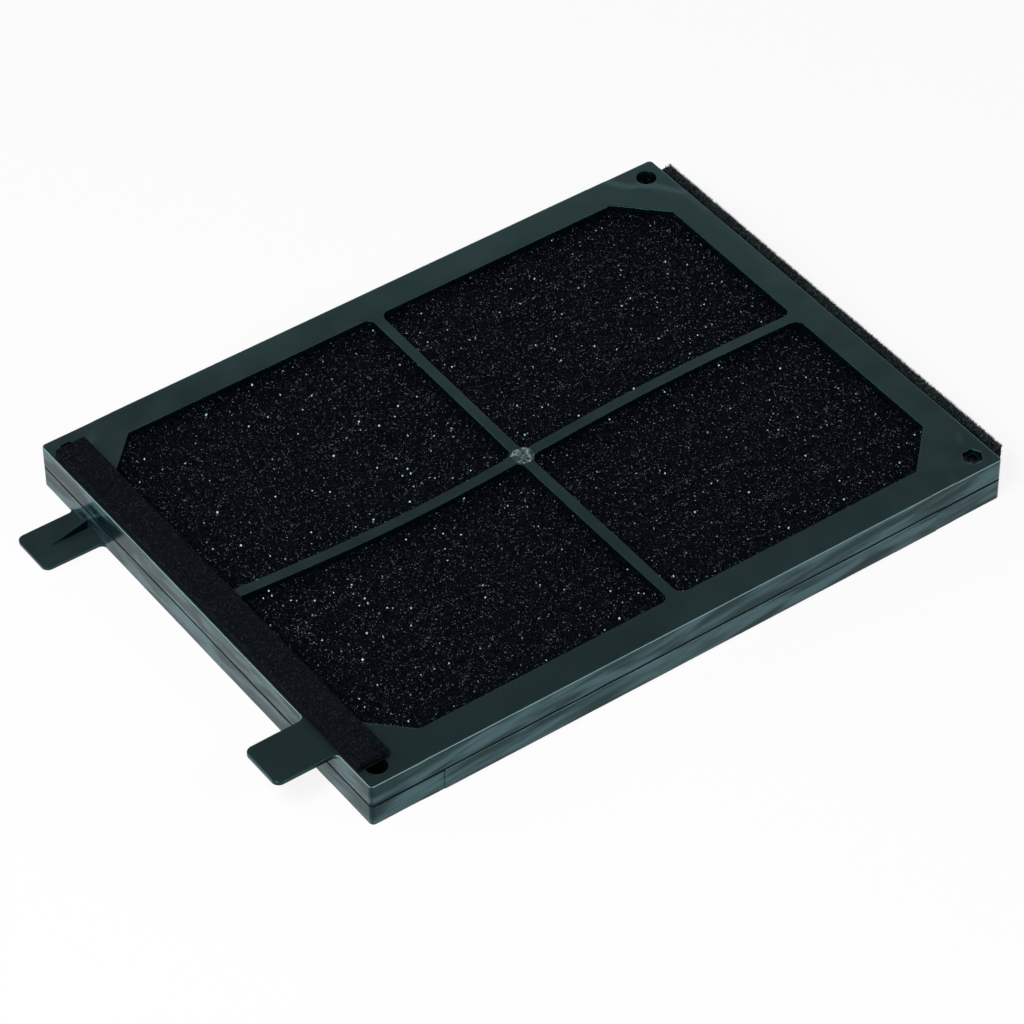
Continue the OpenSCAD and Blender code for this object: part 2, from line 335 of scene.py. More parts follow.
@dataclass(frozen=True)
class MouldedPlastic:
    """Dark slate injection-moulded plastic with a satin gloss and painted reflections, soft light and
    dark streaks, on its walls.

    The half sizes are those of the plate, so that only its outer walls take the painted reflections and
    the painted rim highlight.
    """

    half_length: float
    half_width: float
    dark: Colour = (0.0120, 0.0200, 0.0205)
    light: Colour = (0.0155, 0.0255, 0.0265)
    # Painted shade colour for the inner upright faces of windows, ribs and recesses
    reveal_painted_shade: Colour = (0.0010, 0.0040, 0.0045)
    # The two wall colours are the dark and light ends of the painted reflections on the outer walls
    wall_dark: Colour = (0.0030, 0.0110, 0.0125)
    wall_painted_reflection: Colour = (0.0580, 0.1120, 0.1260)
    # Painted highlight colour for the rounding of the outer rim
    rim: Colour = (0.1900, 0.2900, 0.3000)
    dust: Colour = (0.45, 0.45, 0.43)
    tint: Colour = (0.18, 0.86, 0.95)

    def outside(self, g: Graph) -> bpy.types.NodeSocket:
        """1 on the outer walls and their roundings, 0 further in."""
        place = g.node("ShaderNodeSeparateXYZ", {0: g.place})
        near_end, near_side = [
            g.span(g.maths("ABSOLUTE", place.outputs[axis]), half - 0.45 * MM, half - 0.25 * MM)
            for axis, half in (("X", self.half_length), ("Y", self.half_width))]
        # The tabs reach past the end and stay plain
        past_end = g.span(g.maths("ABSOLUTE", place.outputs["X"]), self.half_length + 0.3 * MM,
                          self.half_length + 0.8 * MM)
        return g.maths("MULTIPLY", g.maths("MAXIMUM", near_end, near_side),
                       g.maths("SUBTRACT", 1.0, past_end))

    def painted_wall_reflections(self, g: Graph) -> bpy.types.NodeSocket:
        """Long shallow swooshes of painted reflection in the colour of the walls."""
        slant = (3.0, 4.0, 0.0)
        swoosh = g.noise(6.5 * MM, detail=1.5, swirl=0.5, vector=g.stretched((0.22, 0.30, 1.3), slant))
        streak = g.noise(2.4 * MM, detail=2.5, swirl=0.4, vector=g.stretched((0.12, 0.18, 1.3), slant))
        both = g.maths("ADD", g.maths("MULTIPLY", swoosh, 0.7), g.maths("MULTIPLY", streak, 0.3))
        return g.mix(g.span(both, 0.40, 0.62), self.wall_dark, self.wall_painted_reflection)

    def build(self, name: str, gloss: float) -> bpy.types.Material:
        """Builds the finish.

        Args:
            name: The material's name.
            gloss: Its specular level, 0.5 for clean plastic and less where it is handled.

        Returns:
            The material.
        """
        g = Graph(name)
        colour = g.mix(g.span(g.noise(38 * MM, detail=1.0), 0.35, 0.65), self.dark, self.light)
        facing = g.node("ShaderNodeSeparateXYZ", {0: g.node("ShaderNodeNewGeometry").outputs["Normal"]})
        level = g.maths("ABSOLUTE", facing.outputs["Z"])
        outside = self.outside(g)
        # Inner upright faces take painted shade, the outer walls the painted reflections
        upright = g.mix(outside, self.reveal_painted_shade, self.painted_wall_reflections(g))
        colour = g.mix(g.span(level, 0.75, 0.25), colour, upright)
        # The rim is painted lighter: a painted highlight along the outer rounding
        rounding = g.maths("MULTIPLY", g.span(level, 0.20, 0.50), g.span(level, 0.98, 0.85))
        colour = g.mix(g.maths("MULTIPLY", rounding, outside), colour, self.rim)
        # A few specks of dust
        colour = g.mix(g.span(g.cells(26 * MM), 0.009, 0.004), colour, self.dust)
        rough = g.span(g.noise(9 * MM, detail=3.0), 0.3, 0.7, 0.15, 0.23)
        peel = g.bump(g.noise(1.6 * MM, detail=2.0), 0.01 * MM, 0.5)
        ripple = g.bump(g.noise(11 * MM, detail=1.0), 0.10 * MM, 0.6, under=peel)
        return g.finish({"Base Color": colour, "Roughness": rough, "Normal": ripple, "IOR": 1.5,
                         "Specular IOR Level": gloss, "Specular Tint": (*self.tint, 1.0)})


@dataclass(frozen=True)
class SeamShadePlastic:
    """The same plastic inside the narrow shadow groove, painted near black as painted shade, and dull."""

    base: Colour = (0.0010, 0.0035, 0.0040)

    def build(self) -> bpy.types.Material:
        """Returns the material."""
        g = Graph("seam_painted_shade")
        # A paler mottle within the painted shade
        paler = tuple(2 * channel for channel in self.base)
        colour = g.mix(g.noise(3 * MM), self.base, paler)
        return g.finish({"Base Color": colour, "Roughness": 0.85, "Specular IOR Level": 0.03})


@dataclass(frozen=True)
class CarbonBed:
    """Activated carbon crushed fine: black and pitted, with dim painted glints as specks in its colour.
    """

    dark: Colour = (0.0004, 0.0006, 0.0012)
    light: Colour = (0.0016, 0.0026, 0.0050)
    speck: Colour = (0.0520, 0.0620, 0.1000)
    speck_size: float = 0.34 * MM

    def build(self) -> bpy.types.Material:
        """Returns the material."""
        g = Graph("carbon_bed")
        chips = g.cells(0.75 * MM, "Color")
        shade_of = g.node("ShaderNodeSeparateXYZ", {0: chips})
        colour = g.mix(g.span(shade_of.outputs["X"], 0.3, 1.0), self.dark, self.light)
        # One cell in twelve holds a dim painted glint speck at its middle
        draw = g.node("ShaderNodeSeparateXYZ", {0: g.cells(self.speck_size, "Color")})
        chosen = g.span(draw.outputs["X"], 0.88, 1.0)
        middle = g.span(g.cells(self.speck_size), 0.42, 0.20)
        colour = g.mix(g.maths("MULTIPLY", chosen, middle), colour, self.speck)
        pits = g.bump(g.cells(0.75 * MM), 0.5 * MM, 1.0)
        return g.finish({"Base Color": colour, "Roughness": 0.7, "Normal": pits, "IOR": 1.5,
                         "Specular IOR Level": 0.03, "Specular Tint": (0.55, 0.75, 1.0, 1.0)})


@dataclass(frozen=True)
class CarbonChip:
    """One kind of carbon chip: glassy fracture faces, black, or pale where the pale colour is a painted
    glint.
    """

    name: str
    base: Colour
    cast: Colour
    roughness: float

    def build(self) -> bpy.types.Material:
        """Returns the material."""
        g = Graph(self.name)
        # Each chip is brighter or dimmer than its neighbours
        draw = g.node("ShaderNodeSeparateXYZ", {0: g.cells(1.3 * MM, "Color")})
        dim = tuple(0.18 * channel for channel in self.base)
        colour = g.mix(g.span(draw.outputs["Y"], 0.25, 0.95), dim, self.base)
        return g.finish({"Base Color": colour, "Roughness": self.roughness, "IOR": 1.6,
                         "Specular Tint": (*self.cast, 1.0)})


@dataclass(frozen=True)
class SealFoam:
    """Fine-pored charcoal foam rubber."""

    name: str
    pore: Colour = (0.0013, 0.0019, 0.0030)
    strut: Colour = (0.0052, 0.0070, 0.0104)
    speck: Colour = (0.0190, 0.0230, 0.0300)
    cell: float = 0.40 * MM

    def build(self) -> bpy.types.Material:
        """Returns the material."""
        g = Graph(self.name)
        pores = g.cells(self.cell)
        draw = g.node("ShaderNodeSeparateXYZ", {0: g.cells(self.cell, "Color")})
        colour = g.mix(g.span(draw.outputs["X"], 0.1, 0.9), self.pore, self.strut)
        colour = g.mix(g.span(draw.outputs["Y"], 0.88, 1.0), colour, self.speck)
        relief = g.bump(pores, 0.2 * MM, 0.8)
        return g.finish({"Base Color": colour, "Roughness": 0.9, "Normal": relief,
                         "Specular IOR Level": 0.04})


@dataclass(frozen=True)
class FuzzFibre:
    """Torn struts of the coarse foam, painted paler in soft patches: painted light shining through the
    fibres.
    """

    base: Colour = (0.022, 0.033, 0.031)
    paler: Colour = (0.100, 0.135, 0.125)

    def build(self) -> bpy.types.Material:
        """Returns the material."""
        g = Graph("foam_fuzz")
        # Paler patches are painted light standing in for light through the thin fibres
        colour = g.mix(g.span(g.noise(0.9 * MM, detail=2.0), 0.35, 0.65), self.base, self.paler)
        return g.finish({"Base Color": colour, "Roughness": 0.85, "Specular IOR Level": 0.05})


@dataclass(frozen=True)
class AdhesiveFilm:
    """Dark acrylic transfer film."""

    base: Colour = (0.0030, 0.0040, 0.0050)

    def build(self) -> bpy.types.Material:
        """Returns the material."""
        g = Graph("transfer_film")
        colour = g.mix(g.noise(3 * MM), self.base, (0.006, 0.008, 0.009))
        return g.finish({"Base Color": colour, "Roughness": 0.6, "Specular IOR Level": 0.1})


@dataclass(frozen=True)
class BlackenedSteel:
    """Black-oxide steel of the screws and nuts."""

    base: Colour = (0.026, 0.036, 0.042)

    def build(self) -> bpy.types.Material:
        """Returns the material."""
        g = Graph("blackened_steel")
        colour = g.mix(g.span(g.noise(1.2 * MM, detail=3.0), 0.35, 0.7), (0.006, 0.008, 0.010), self.base)
        rough = g.span(g.noise(0.8 * MM), 0.3, 0.7, 0.2, 0.4)
        relief = g.bump(g.noise(0.35 * MM, detail=3.0), 0.02 * MM, 0.5)
        return g.finish({"Base Color": colour, "Roughness": rough, "Metallic": 1.0, "Normal": relief})


@dataclass(frozen=True)
class TornGate:
    """Stress-whitened plastic where the sprue was twisted off."""

    dark: Colour = (0.010, 0.026, 0.026)
    light: Colour = (0.190, 0.310, 0.300)

    def build(self) -> bpy.types.Material:
        """Returns the material."""
        g = Graph("torn_gate")
        streaks = g.noise(1.1 * MM, detail=5.0, roughness=0.65, vector=g.stretched((1.0, 0.45, 1.0),
                                                                                (0.0, 0.0, 35.0)))
        colour = g.mix(g.span(streaks, 0.42, 0.66), self.dark, self.light)
        relief = g.bump(streaks, 0.25 * MM, 1.0)
        return g.finish({"Base Color": colour, "Roughness": 0.42, "Normal": relief, "IOR": 1.5})


# ---- the moulded half shells ----


class Side(Enum):
    """Which half of the cassette a shell is."""

    UPPER = "upper"
    LOWER = "lower"


@dataclass
class HalfShell:
    """One moulded half: made from its CAD solid, with rounded edges and soft sink marks."""

    side: Side
    plastic: bpy.types.Material
    seam_painted_shade: bpy.types.Material
    wall_plastic: bpy.types.Material
    rim_radius: float = 0.4 * MM
    window_radius: float = 0.09 * MM
    recess_radius: float = 0.18 * MM
    seam_radius: float = 0.1 * MM
    wall_sink: float = 0.06 * MM
    face_sink: float = 0.03 * MM
    sink_size: float = 9 * MM
    corner_step: float = 0.16 * MM
    step_width: float = 2.6 * MM
    corner_reach: float = 26 * MM
    groove_reach: float = 0.8 * MM
    groove_depth: float = 7.6 * MM
    seam_depth: float = 7.0 * MM
    recess_reach: float = 4.2 * MM
    window_margin: float = 8 * MM
    sharp_from: float = math.radians(50)
    boss_reach: float = 4.6 * MM
    boss_wander: float = 0.8 * MM
    wander_size: float = 4 * MM
    wall_pieces: tuple[float, float, float] = (2.5 * MM, 2.5 * MM, 1.2 * MM)
    face_pieces: float = 12 * MM
    corner_pieces: float = 0.9 * MM
    name: str = field(init=False)

    def __post_init__(self) -> None:
        """Reads the half's place from its CAD node and a screw's."""
        self.name = f"{self.side.value}_shell"
        low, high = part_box(self.name)
        self.bottom, self.top = low.z, high.z
        # No tab stands out at +X, and the guide pad only on one of the long walls
        self.half_length = high.x
        self.half_width = min(-low.y, high.y)
        screw = sum(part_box("screw_rear_left"), Vector()) / 2
        self.screw_spot = Vector((screw.x, screw.y))
        self.face_z = self.top if self.side is Side.UPPER else self.bottom
        self.out = 1.0 if self.side is Side.UPPER else -1.0

    def depth(self, point: Vector) -> float:
        """How far a point lies behind the outer face."""
        return (self.face_z - point.z) * self.out

    def rim_edges(self, bm: bmesh.types.BMesh) -> list[bmesh.types.BMEdge]:
        """The sharp edges all round the outer face, holes included."""
        return [e for e in bm.edges if e.calc_face_angle(0.0) > self.sharp_from
                and all(abs(self.depth(v.co)) < 0.01 * MM for v in e.verts)]

    def is_recess(self, edge: bmesh.types.BMEdge) -> bool:
        """True for an edge around one of the four fastener recesses."""
        middle = middle_of(edge)
        across = self.screw_spot - Vector((abs(middle.x), abs(middle.y)))
        return across.length < self.recess_reach

    def is_window(self, edge: bmesh.types.BMEdge) -> bool:
        """True for an edge around a window."""
        middle = middle_of(edge)
        return (abs(middle.x) < self.half_length - self.window_margin
                and abs(middle.y) < self.half_width - self.window_margin
                and not self.is_recess(edge))

    def seam_edges(self, bm: bmesh.types.BMesh) -> list[bmesh.types.BMEdge]:
        """The outer edges that run along the shadow groove."""
        found = []
        for e in bm.edges:
            middle = middle_of(e)
            outside = (abs(middle.x) > self.half_length - 0.3 * MM
                       or abs(middle.y) > self.half_width - 0.3 * MM)
            level = abs(e.verts[0].co.z - e.verts[1].co.z) < 0.01 * MM
            deep = abs(self.depth(middle)) > self.seam_depth
            sharp = e.calc_face_angle(0.0) > self.sharp_from
            if outside and level and deep and sharp and e.is_convex:
                found.append(e)
        return found

    def on_wall(self, face: bmesh.types.BMFace) -> bool:
        """True for a face of the outer side walls or of their roundings."""
        centre = face.calc_center_median()
        outside = (abs(centre.x) > self.half_length - 0.5 * MM
                   or abs(centre.y) > self.half_width - 0.5 * MM)
        return outside and abs(face.normal.z) < 0.95 and abs(centre.x) < self.half_length + 0.7 * MM

    def in_groove(self, face: bmesh.types.BMFace) -> bool:
        """True for a face of the shadow groove along the seam."""
        centre = face.calc_center_median()
        near_wall = (abs(centre.x) > self.half_length - self.groove_reach
                     or abs(centre.y) > self.half_width - self.groove_reach)
        return (near_wall and abs(centre.y) < self.half_width + 0.05 * MM
                and self.depth(centre) > self.groove_depth)

    def on_face(self, face: bmesh.types.BMFace) -> bool:
        """True for a face of the flat outer side, tabs left out."""
        centre = face.calc_center_median()
        return (face.normal.z * self.out > 0.95 and abs(self.depth(centre)) < 0.05 * MM
                and abs(centre.x) < self.half_length)

    def near_corner(self, face: bmesh.types.BMFace) -> bool:
        """True for a face of the outer side that lies close to a corner of the plate."""
        centre = face.calc_center_median()
        return (self.on_face(face) and abs(centre.x) > self.half_length - self.corner_reach
                and abs(centre.y) > self.half_width - self.corner_reach)

    def corner_sink(self, point: Vector) -> float:
        """Share of the sink at a point: 1 over a corner boss, 0 away from the corners."""
        inward = (self.screw_spot.x + self.screw_spot.y - abs(point.x) - abs(point.y)) / math.sqrt(2)
        bend = self.boss_wander * math.sin((abs(point.x) - abs(point.y)) / self.wander_size)
        share = (inward + bend - self.boss_reach) / self.step_width + 0.5
        share = min(max(share, 0.0), 1.0)
        return 1.0 - share * share * (3.0 - 2.0 * share)

    def sink_marks(self, bm: bmesh.types.BMesh) -> None:
        """Gives the walls and the face the shallow waves of a moulding."""
        seed = Vector((3.1, 7.7, 1.9)) * (1.0 if self.side is Side.UPPER else -2.3)
        for v in bm.verts:
            outside = (abs(v.co.x) > self.half_length - 0.2 * MM
                       or abs(v.co.y) > self.half_width - 0.2 * MM)
            if outside and abs(v.normal.z) < 0.9 and abs(v.co.x) < self.half_length + 0.5 * MM:
                wave = noise.noise(v.co / self.sink_size + seed)
                v.co += Vector((v.normal.x, v.normal.y, 0.0)) * self.wall_sink * wave
            if self.depth(v.co) < self.rim_radius + 0.01 * MM:
                wave = noise.noise(v.co / (3 * self.sink_size) + seed)
                sunk = self.corner_step * self.corner_sink(v.co)
                v.co.z += self.out * (self.face_sink * (wave - 1.0) - sunk)

    def build(self) -> bpy.types.Object:
        """Returns the finished half, which replaces its CAD node."""
        bm = merged_copy(self.name)
        rim = self.rim_edges(bm)
        recess = [e for e in rim if self.is_recess(e)]
        window = [e for e in rim if self.is_window(e)]
        outline = [e for e in rim if e not in set(recess) | set(window)]
        LOG.info("%s: %d outline, %d window and %d recess edges", self.name, len(outline),
                 len(window), len(recess))
        round_edges(bm, outline, self.rim_radius, 4)
        round_edges(bm, [e for e in self.rim_edges(bm) if self.is_window(e)], self.window_radius, 3)
        round_edges(bm, [e for e in self.rim_edges(bm) if self.is_recess(e)], self.recess_radius, 3)
        round_edges(bm, self.seam_edges(bm), self.seam_radius, 2)
        for axis, spacing in enumerate(self.wall_pieces):
            slice_faces(bm, axis, spacing, self.on_wall)
        # Broad squares first, then a fine grid where the corner steps lie
        for axis in (0, 1):
            slice_faces(bm, axis, self.face_pieces, self.on_face)
        for axis in (0, 1):
            slice_faces(bm, axis, self.corner_pieces, self.near_corner)
        for face in bm.faces:
            # Groove faces take the plastic painted as shade; outer wall faces take the plastic with
            # painted reflections
            face.material_index = 1 if self.in_groove(face) else 2 if self.on_wall(face) else 0
        self.sink_marks(bm)
        shade(bm)
        shell = to_object(bm, f"{self.name}_moulding", self.plastic, self.seam_painted_shade,
                          self.wall_plastic)
        even_normals(shell)
        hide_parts(self.name)
        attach(shell, "cover" if self.side is Side.UPPER else "base")
        return shell


@dataclass
class GateScar:
    """The rough disc where the sprue was twisted off, at the crossing of the ribs."""

    material: bpy.types.Material
    centre: Vector
    radius: float = 3.5 * MM
    height: float = 0.22 * MM
    wander: float = 0.35 * MM
    ragged: float = 0.30 * MM
    burr_root: float = 0.42 * MM
    burr_tip: float = 0.05 * MM
    seed: int = 11

    def build(self, name: str, body: str, out: float) -> bpy.types.Object:
        """Makes the scar.

        Args:
            name: The piece's name.
            body: The CAD body that it rides on.
            out: 1 for the upper face, -1 for the lower.

        Returns:
            The finished piece.
        """
        rng = random.Random(self.seed)
        bm = bmesh.new()
        bmesh.ops.create_circle(bm, cap_ends=True, segments=30, radius=self.radius)
        disc = list(bm.faces)
        raised = bmesh.ops.extrude_face_region(bm, geom=disc)
        top = [g for g in raised["geom"] if isinstance(g, bmesh.types.BMVert)]
        bmesh.ops.translate(bm, verts=top, vec=(0.0, 0.0, self.height))
        bmesh.ops.recalc_face_normals(bm, faces=bm.faces)
        cap = [f for f in bm.faces if f.normal.z > 0.9]
        for width in (0.45 * MM, 0.7 * MM, 0.7 * MM):
            inset = bmesh.ops.inset_region(bm, faces=cap, thickness=width)
            cap = [f for f in bm.faces if f.normal.z > 0.9 and f not in set(inset["faces"])
                   and len(f.verts) > 4] or cap
        bmesh.ops.triangulate(bm, faces=bm.faces)
        bmesh.ops.subdivide_edges(bm, edges=[e for e in bm.edges if e.calc_length() > 0.6 * MM], cuts=1)
        bmesh.ops.triangulate(bm, faces=bm.faces)
        for v in bm.verts:
            ragged = noise.noise(v.co / (1.1 * MM) + Vector((4.0, 2.0, 9.0)))
            v.co.x += self.wander * noise.noise(v.co / (1.6 * MM))
            v.co.y += self.wander * noise.noise(v.co / (1.6 * MM) + Vector((8.0, 1.0, 3.0)))
            if v.co.z > self.height / 2:
                v.co.z += self.ragged * ragged + rng.uniform(-0.05, 0.05) * MM
        # Burrs left round the disc: direction in degrees, share of the radius, length in mm
        for turn, reach, length in ((228.0, 0.95, 1.8), (20.0, 1.05, 1.9), (40.0, 0.95, 1.4),
                                    (255.0, 0.9, 1.2), (150.0, 1.0, 0.9)):
            angle = math.radians(turn)
            burr = (Matrix.Translation((math.cos(angle) * self.radius * reach,
                                        math.sin(angle) * self.radius * reach, 0.25 * MM))
                    @ Euler((0.0, math.radians(78.0), angle)).to_matrix().to_4x4())
            bmesh.ops.create_cone(bm, cap_ends=True, segments=5, radius1=self.burr_root,
                                  radius2=self.burr_tip, depth=length * MM, matrix=burr)
        bmesh.ops.transform(bm, matrix=Matrix.Scale(out, 4, (0.0, 0.0, 1.0)), verts=bm.verts)
        bmesh.ops.translate(bm, verts=bm.verts, vec=self.centre)
        bmesh.ops.recalc_face_normals(bm, faces=bm.faces)
        scar = to_object(bm, name, self.material)
        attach(scar, body)
        return scar


# ---- the carbon mat ----


@dataclass
class CarbonMat:
    """A block of carbon granules held in foam, with loose chips showing on both faces."""

    bed: bpy.types.Material
    chip: bpy.types.Material
    glints: tuple[bpy.types.Material, ...]
    voxel: float = 1.05 * MM
    relief: float = 0.28 * MM
    pit_size: float = 1.9 * MM
    grit_size: float = 1.3 * MM
    chip_sink: float = 0.1 * MM
    patch: float = 21 * MM
    chips_in_patch: int = 260
    glints_in_patch: int = 260
    glint_shares: tuple[int, ...] = (8, 2, 1)
    window_reach: tuple[float, float] = (105 * MM, 77 * MM)
    corner_margin: float = 1.2 * MM
    seed: int = 5

    def pitted(self, v: bmesh.types.BMVert) -> Vector:
        """How far the granules push or pit the bed at a vertex."""
        pit = noise.voronoi(v.co / self.pit_size)[0][0]
        grit = noise.noise(v.co / self.grit_size)
        return v.normal * self.relief * (0.9 * grit + 0.5 - pit)

    def block(self) -> bpy.types.Object:
        """The bed itself: a closed block with a pitted surface."""
        bm = merged_copy("carbon_mat")
        low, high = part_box("carbon_mat")
        middle = (low + high) / 2
        bmesh.ops.translate(bm, verts=bm.verts, vec=-middle)
        size = high - low
        shrink = [1.0 - 2 * self.relief / side for side in size]
        bmesh.ops.scale(bm, verts=bm.verts, vec=shrink)
        bmesh.ops.translate(bm, verts=bm.verts, vec=middle)
        rough = to_object(bm, "carbon_block")
        bm = remeshed(rough, self.voxel)
        displace(bm, self.pitted)
        for face in bm.faces:
            face.smooth = False
        mat = to_object(bm, "carbon_mat_bed", self.bed)
        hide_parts("carbon_mat")
        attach(mat, "mat")
        return mat

    def chip_patch(self, rng: random.Random) -> bpy.types.Mesh:
        """A square patch of loose chips about the origin, its chips resting at z = 0.

        Args:
            rng: The source of its random draws.

        Returns:
            The patch as a mesh.
        """
        bm = bmesh.new()
        half = self.patch / 2
        for index in range(self.chips_in_patch + self.glints_in_patch):
            glint = index >= self.chips_in_patch
            # A few glints are large, most are specks
            size = (0.06 + 0.08 * rng.random()**4 if glint else rng.uniform(0.22, 0.42)) * MM
            sink = rng.uniform(0.02, 0.14) if glint else rng.uniform(-0.30, -0.05)
            spot = Matrix.Translation((rng.uniform(-half, half), rng.uniform(-half, half), sink * MM))
            turn = Euler([rng.uniform(0.0, 2 * math.pi) for _ in range(3)]).to_matrix().to_4x4()
            kind = 0
            if glint:
                kind = 1 + rng.choices(range(len(self.glints)), weights=self.glint_shares)[0]
            add_shard(bm, spot @ turn, size, size * rng.uniform(0.35, 0.9),
                      size * rng.uniform(0.8, 1.5), kind)
        mesh = bpy.data.meshes.new("chip_patch")
        bm.to_mesh(mesh)
        bm.free()
        return mesh

    def drop_outside(self, bm: bmesh.types.BMesh) -> None:
        """Takes away every chip that lies past the mat's cut corners, where nothing carries it."""
        corners = [v.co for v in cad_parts["carbon_mat"].data.vertices]
        reach = max(abs(c.x) + abs(c.y) for c in corners) - self.corner_margin
        outside = {v for v in bm.verts if abs(v.co.x) + abs(v.co.y) > reach}
        chips = {f for v in outside for f in v.link_faces}
        # A chip is whole or gone, so its other faces go with the one that lies outside
        doomed = {v for f in chips for v in f.verts}
        doomed |= {v for d in doomed for f in d.link_faces for v in f.verts}
        bmesh.ops.delete(bm, geom=list(doomed), context="VERTS")

    def loose_chips(self, name: str, level: float, out: float, end: int) -> bpy.types.Object:
        """Spreads patches of chips over one end of one face of the mat.

        Args:
            name: The piece's name.
            level: The height of that face.
            out: 1 for the upper face, -1 for the lower.
            end: -1 for the tab end, 1 for the other end.

        Returns:
            The finished piece.
        """
        rng = random.Random(self.seed + 3 * round(out) + end)
        patches = [self.chip_patch(rng) for _ in range(3)]
        bm = bmesh.new()
        long_reach, wide_reach = self.window_reach
        columns = math.ceil(long_reach / self.patch)
        rows = math.ceil(2 * wide_reach / self.patch)
        for i in range(columns):
            for j in range(rows):
                spot = Vector((end * (i + 0.5) * long_reach / columns,
                               (j + 0.5 - rows / 2) * 2 * wide_reach / rows, level))
                turn = Matrix.Rotation(rng.randrange(4) * math.pi / 2, 4, "Z")
                patch = rng.choice(patches).copy()
                patch.transform(Matrix.Translation(spot) @ Matrix.Scale(out, 4, (0, 0, 1)) @ turn)
                bm.from_mesh(patch)
                bpy.data.meshes.remove(patch)
        for patch in patches:
            bpy.data.meshes.remove(patch)
        self.drop_outside(bm)
        if out < 0:
            bmesh.ops.reverse_faces(bm, faces=bm.faces)
        chips = to_object(bm, name, self.chip, *self.glints)
        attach(chips, "mat")
        return chips

    def build(self) -> list[bpy.types.Object]:
        """Returns the bed and the chips of both faces, each face in two pieces."""
        low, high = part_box("carbon_mat")
        faces = (("top", high.z - self.chip_sink, 1.0), ("bottom", low.z + self.chip_sink, -1.0))
        ends = (("front", -1), ("rear", 1))
        return [self.block()] + [self.loose_chips(f"carbon_chips_{face}_{where}", level, out, end)
                                 for face, level, out in faces for where, end in ends]


# ---- the foam seals ----


@dataclass
class FoamStrip:
    """A strip of foam rubber with rounded, slightly uneven edges and open pores."""

    node: str
    foam: bpy.types.Material
    voxel: float
    edge_radius: float
    pore: float
    pore_depth: float
    sag: float
    seed: Vector
    lump_size: float = 9 * MM

    def uneven(self, v: bmesh.types.BMVert) -> Vector:
        """How far the open cells and the sag of the strip move a vertex."""
        cell = noise.cell(v.co / self.pore + self.seed)
        lump = noise.noise(v.co / self.lump_size + self.seed)
        return v.normal * (self.pore_depth * (cell - 0.5) + self.sag * lump)

    def build(self) -> bpy.types.Object:
        """Returns the strip, which replaces its CAD node."""
        low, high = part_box(self.node)
        middle, size = (low + high) / 2, high - low
        inset = self.pore_depth
        bm = bmesh.new()
        bmesh.ops.create_cube(bm, size=1.0)
        bmesh.ops.scale(bm, verts=bm.verts, vec=[side - 2 * inset for side in size])
        bmesh.ops.translate(bm, verts=bm.verts, vec=middle)
        round_edges(bm, bm.edges[:], self.edge_radius, 3)
        rough = to_object(bm, f"{self.node}_core")
        bm = remeshed(rough, self.voxel)
        displace(bm, self.uneven)
        for face in bm.faces:
            face.smooth = True
        strip = to_object(bm, f"{self.node}_strip", self.foam)
        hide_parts(self.node)
        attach(strip, "cover")
        return strip


@dataclass
class FoamFuzz:
    """Torn struts that stand out of the cut faces of a foam strip."""

    node: str
    fibre: bpy.types.Material
    count: int
    length: tuple[float, float]
    width: float
    seed: int
    edge_share: float = 0.25
    top_share: float = 0.60

    def build(self) -> bpy.types.Object:
        """Returns the struts as one piece."""
        rng = random.Random(self.seed)
        low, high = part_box(self.node)
        bm = bmesh.new()
        for _ in range(self.count):
            length = rng.uniform(*self.length)
            y = rng.uniform(low.y, high.y)
            # Most are spread over the top, some stand on its outer edge and a few on the outer face
            along = rng.random()
            if along < self.edge_share:
                root, lean = Vector((high.x, y, high.z)), Vector((0.8, 0.0, 0.9))
            elif along < self.edge_share + self.top_share:
                across = low.x + (high.x - low.x) * math.sqrt(rng.uniform(0.06, 1.0))
                root, lean = Vector((across, y, high.z)), Vector((0.2, 0.0, 1.0))
            else:
                root, lean = Vector((high.x, y, rng.uniform(low.z, high.z))), Vector((1.0, 0.0, 0.1))
            lean += Vector([rng.uniform(-0.7, 0.7) for _ in range(3)])
            lean.normalize()
            spot = Matrix.Translation(root - Vector((0.5, 0.0, 0.5)) * MM + lean * length * 0.5)
            turn = lean.to_track_quat("Z", "Y").to_matrix().to_4x4()
            add_shard(bm, spot @ turn, self.width, self.width * 0.3, length)
        fuzz = to_object(bm, f"{self.node}_fuzz", self.fibre)
        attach(fuzz, "cover")
        return fuzz


# ---- pieces kept from the CAD frame ----


@dataclass
class Fasteners:
    """The screws, nuts and adhesive films, which keep their CAD shapes."""

    steel: bpy.types.Material
    film: bpy.types.Material

    def dress(self) -> int:
        """Gives each kept CAD node its finish and returns how many there are."""
        kept = 0
        for name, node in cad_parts.items():
            finish = {"screw": self.steel, "nut": self.steel}.get(name.split("_")[0])
            if finish is None and name.endswith("adhesive"):
                finish = self.film
            if finish is not None:
                node.material_slots[0].material = finish
                kept += 1
        return kept


# ---- studio ----


@dataclass(frozen=True)
class Softbox:
    """One square lamp: where it stands as seen from the cassette, its side and its brightness."""

    name: str
    direction: Colour
    distance: float
    side: float
    brightness: float

    def build(self) -> None:
        """Adds the lamp, aimed at the cassette."""
        light = bpy.data.lights.new(self.name, "AREA")
        light.shape = "SQUARE"
        light.size = self.side
        light.energy = self.brightness * math.pi * self.side**2
        lamp = link(bpy.data.objects.new(self.name, light))
        away = Vector(self.direction).normalized()
        lamp.location = away * self.distance
        lamp.rotation_mode = "QUATERNION"
        lamp.rotation_quaternion = away.to_track_quat("Z", "Y")


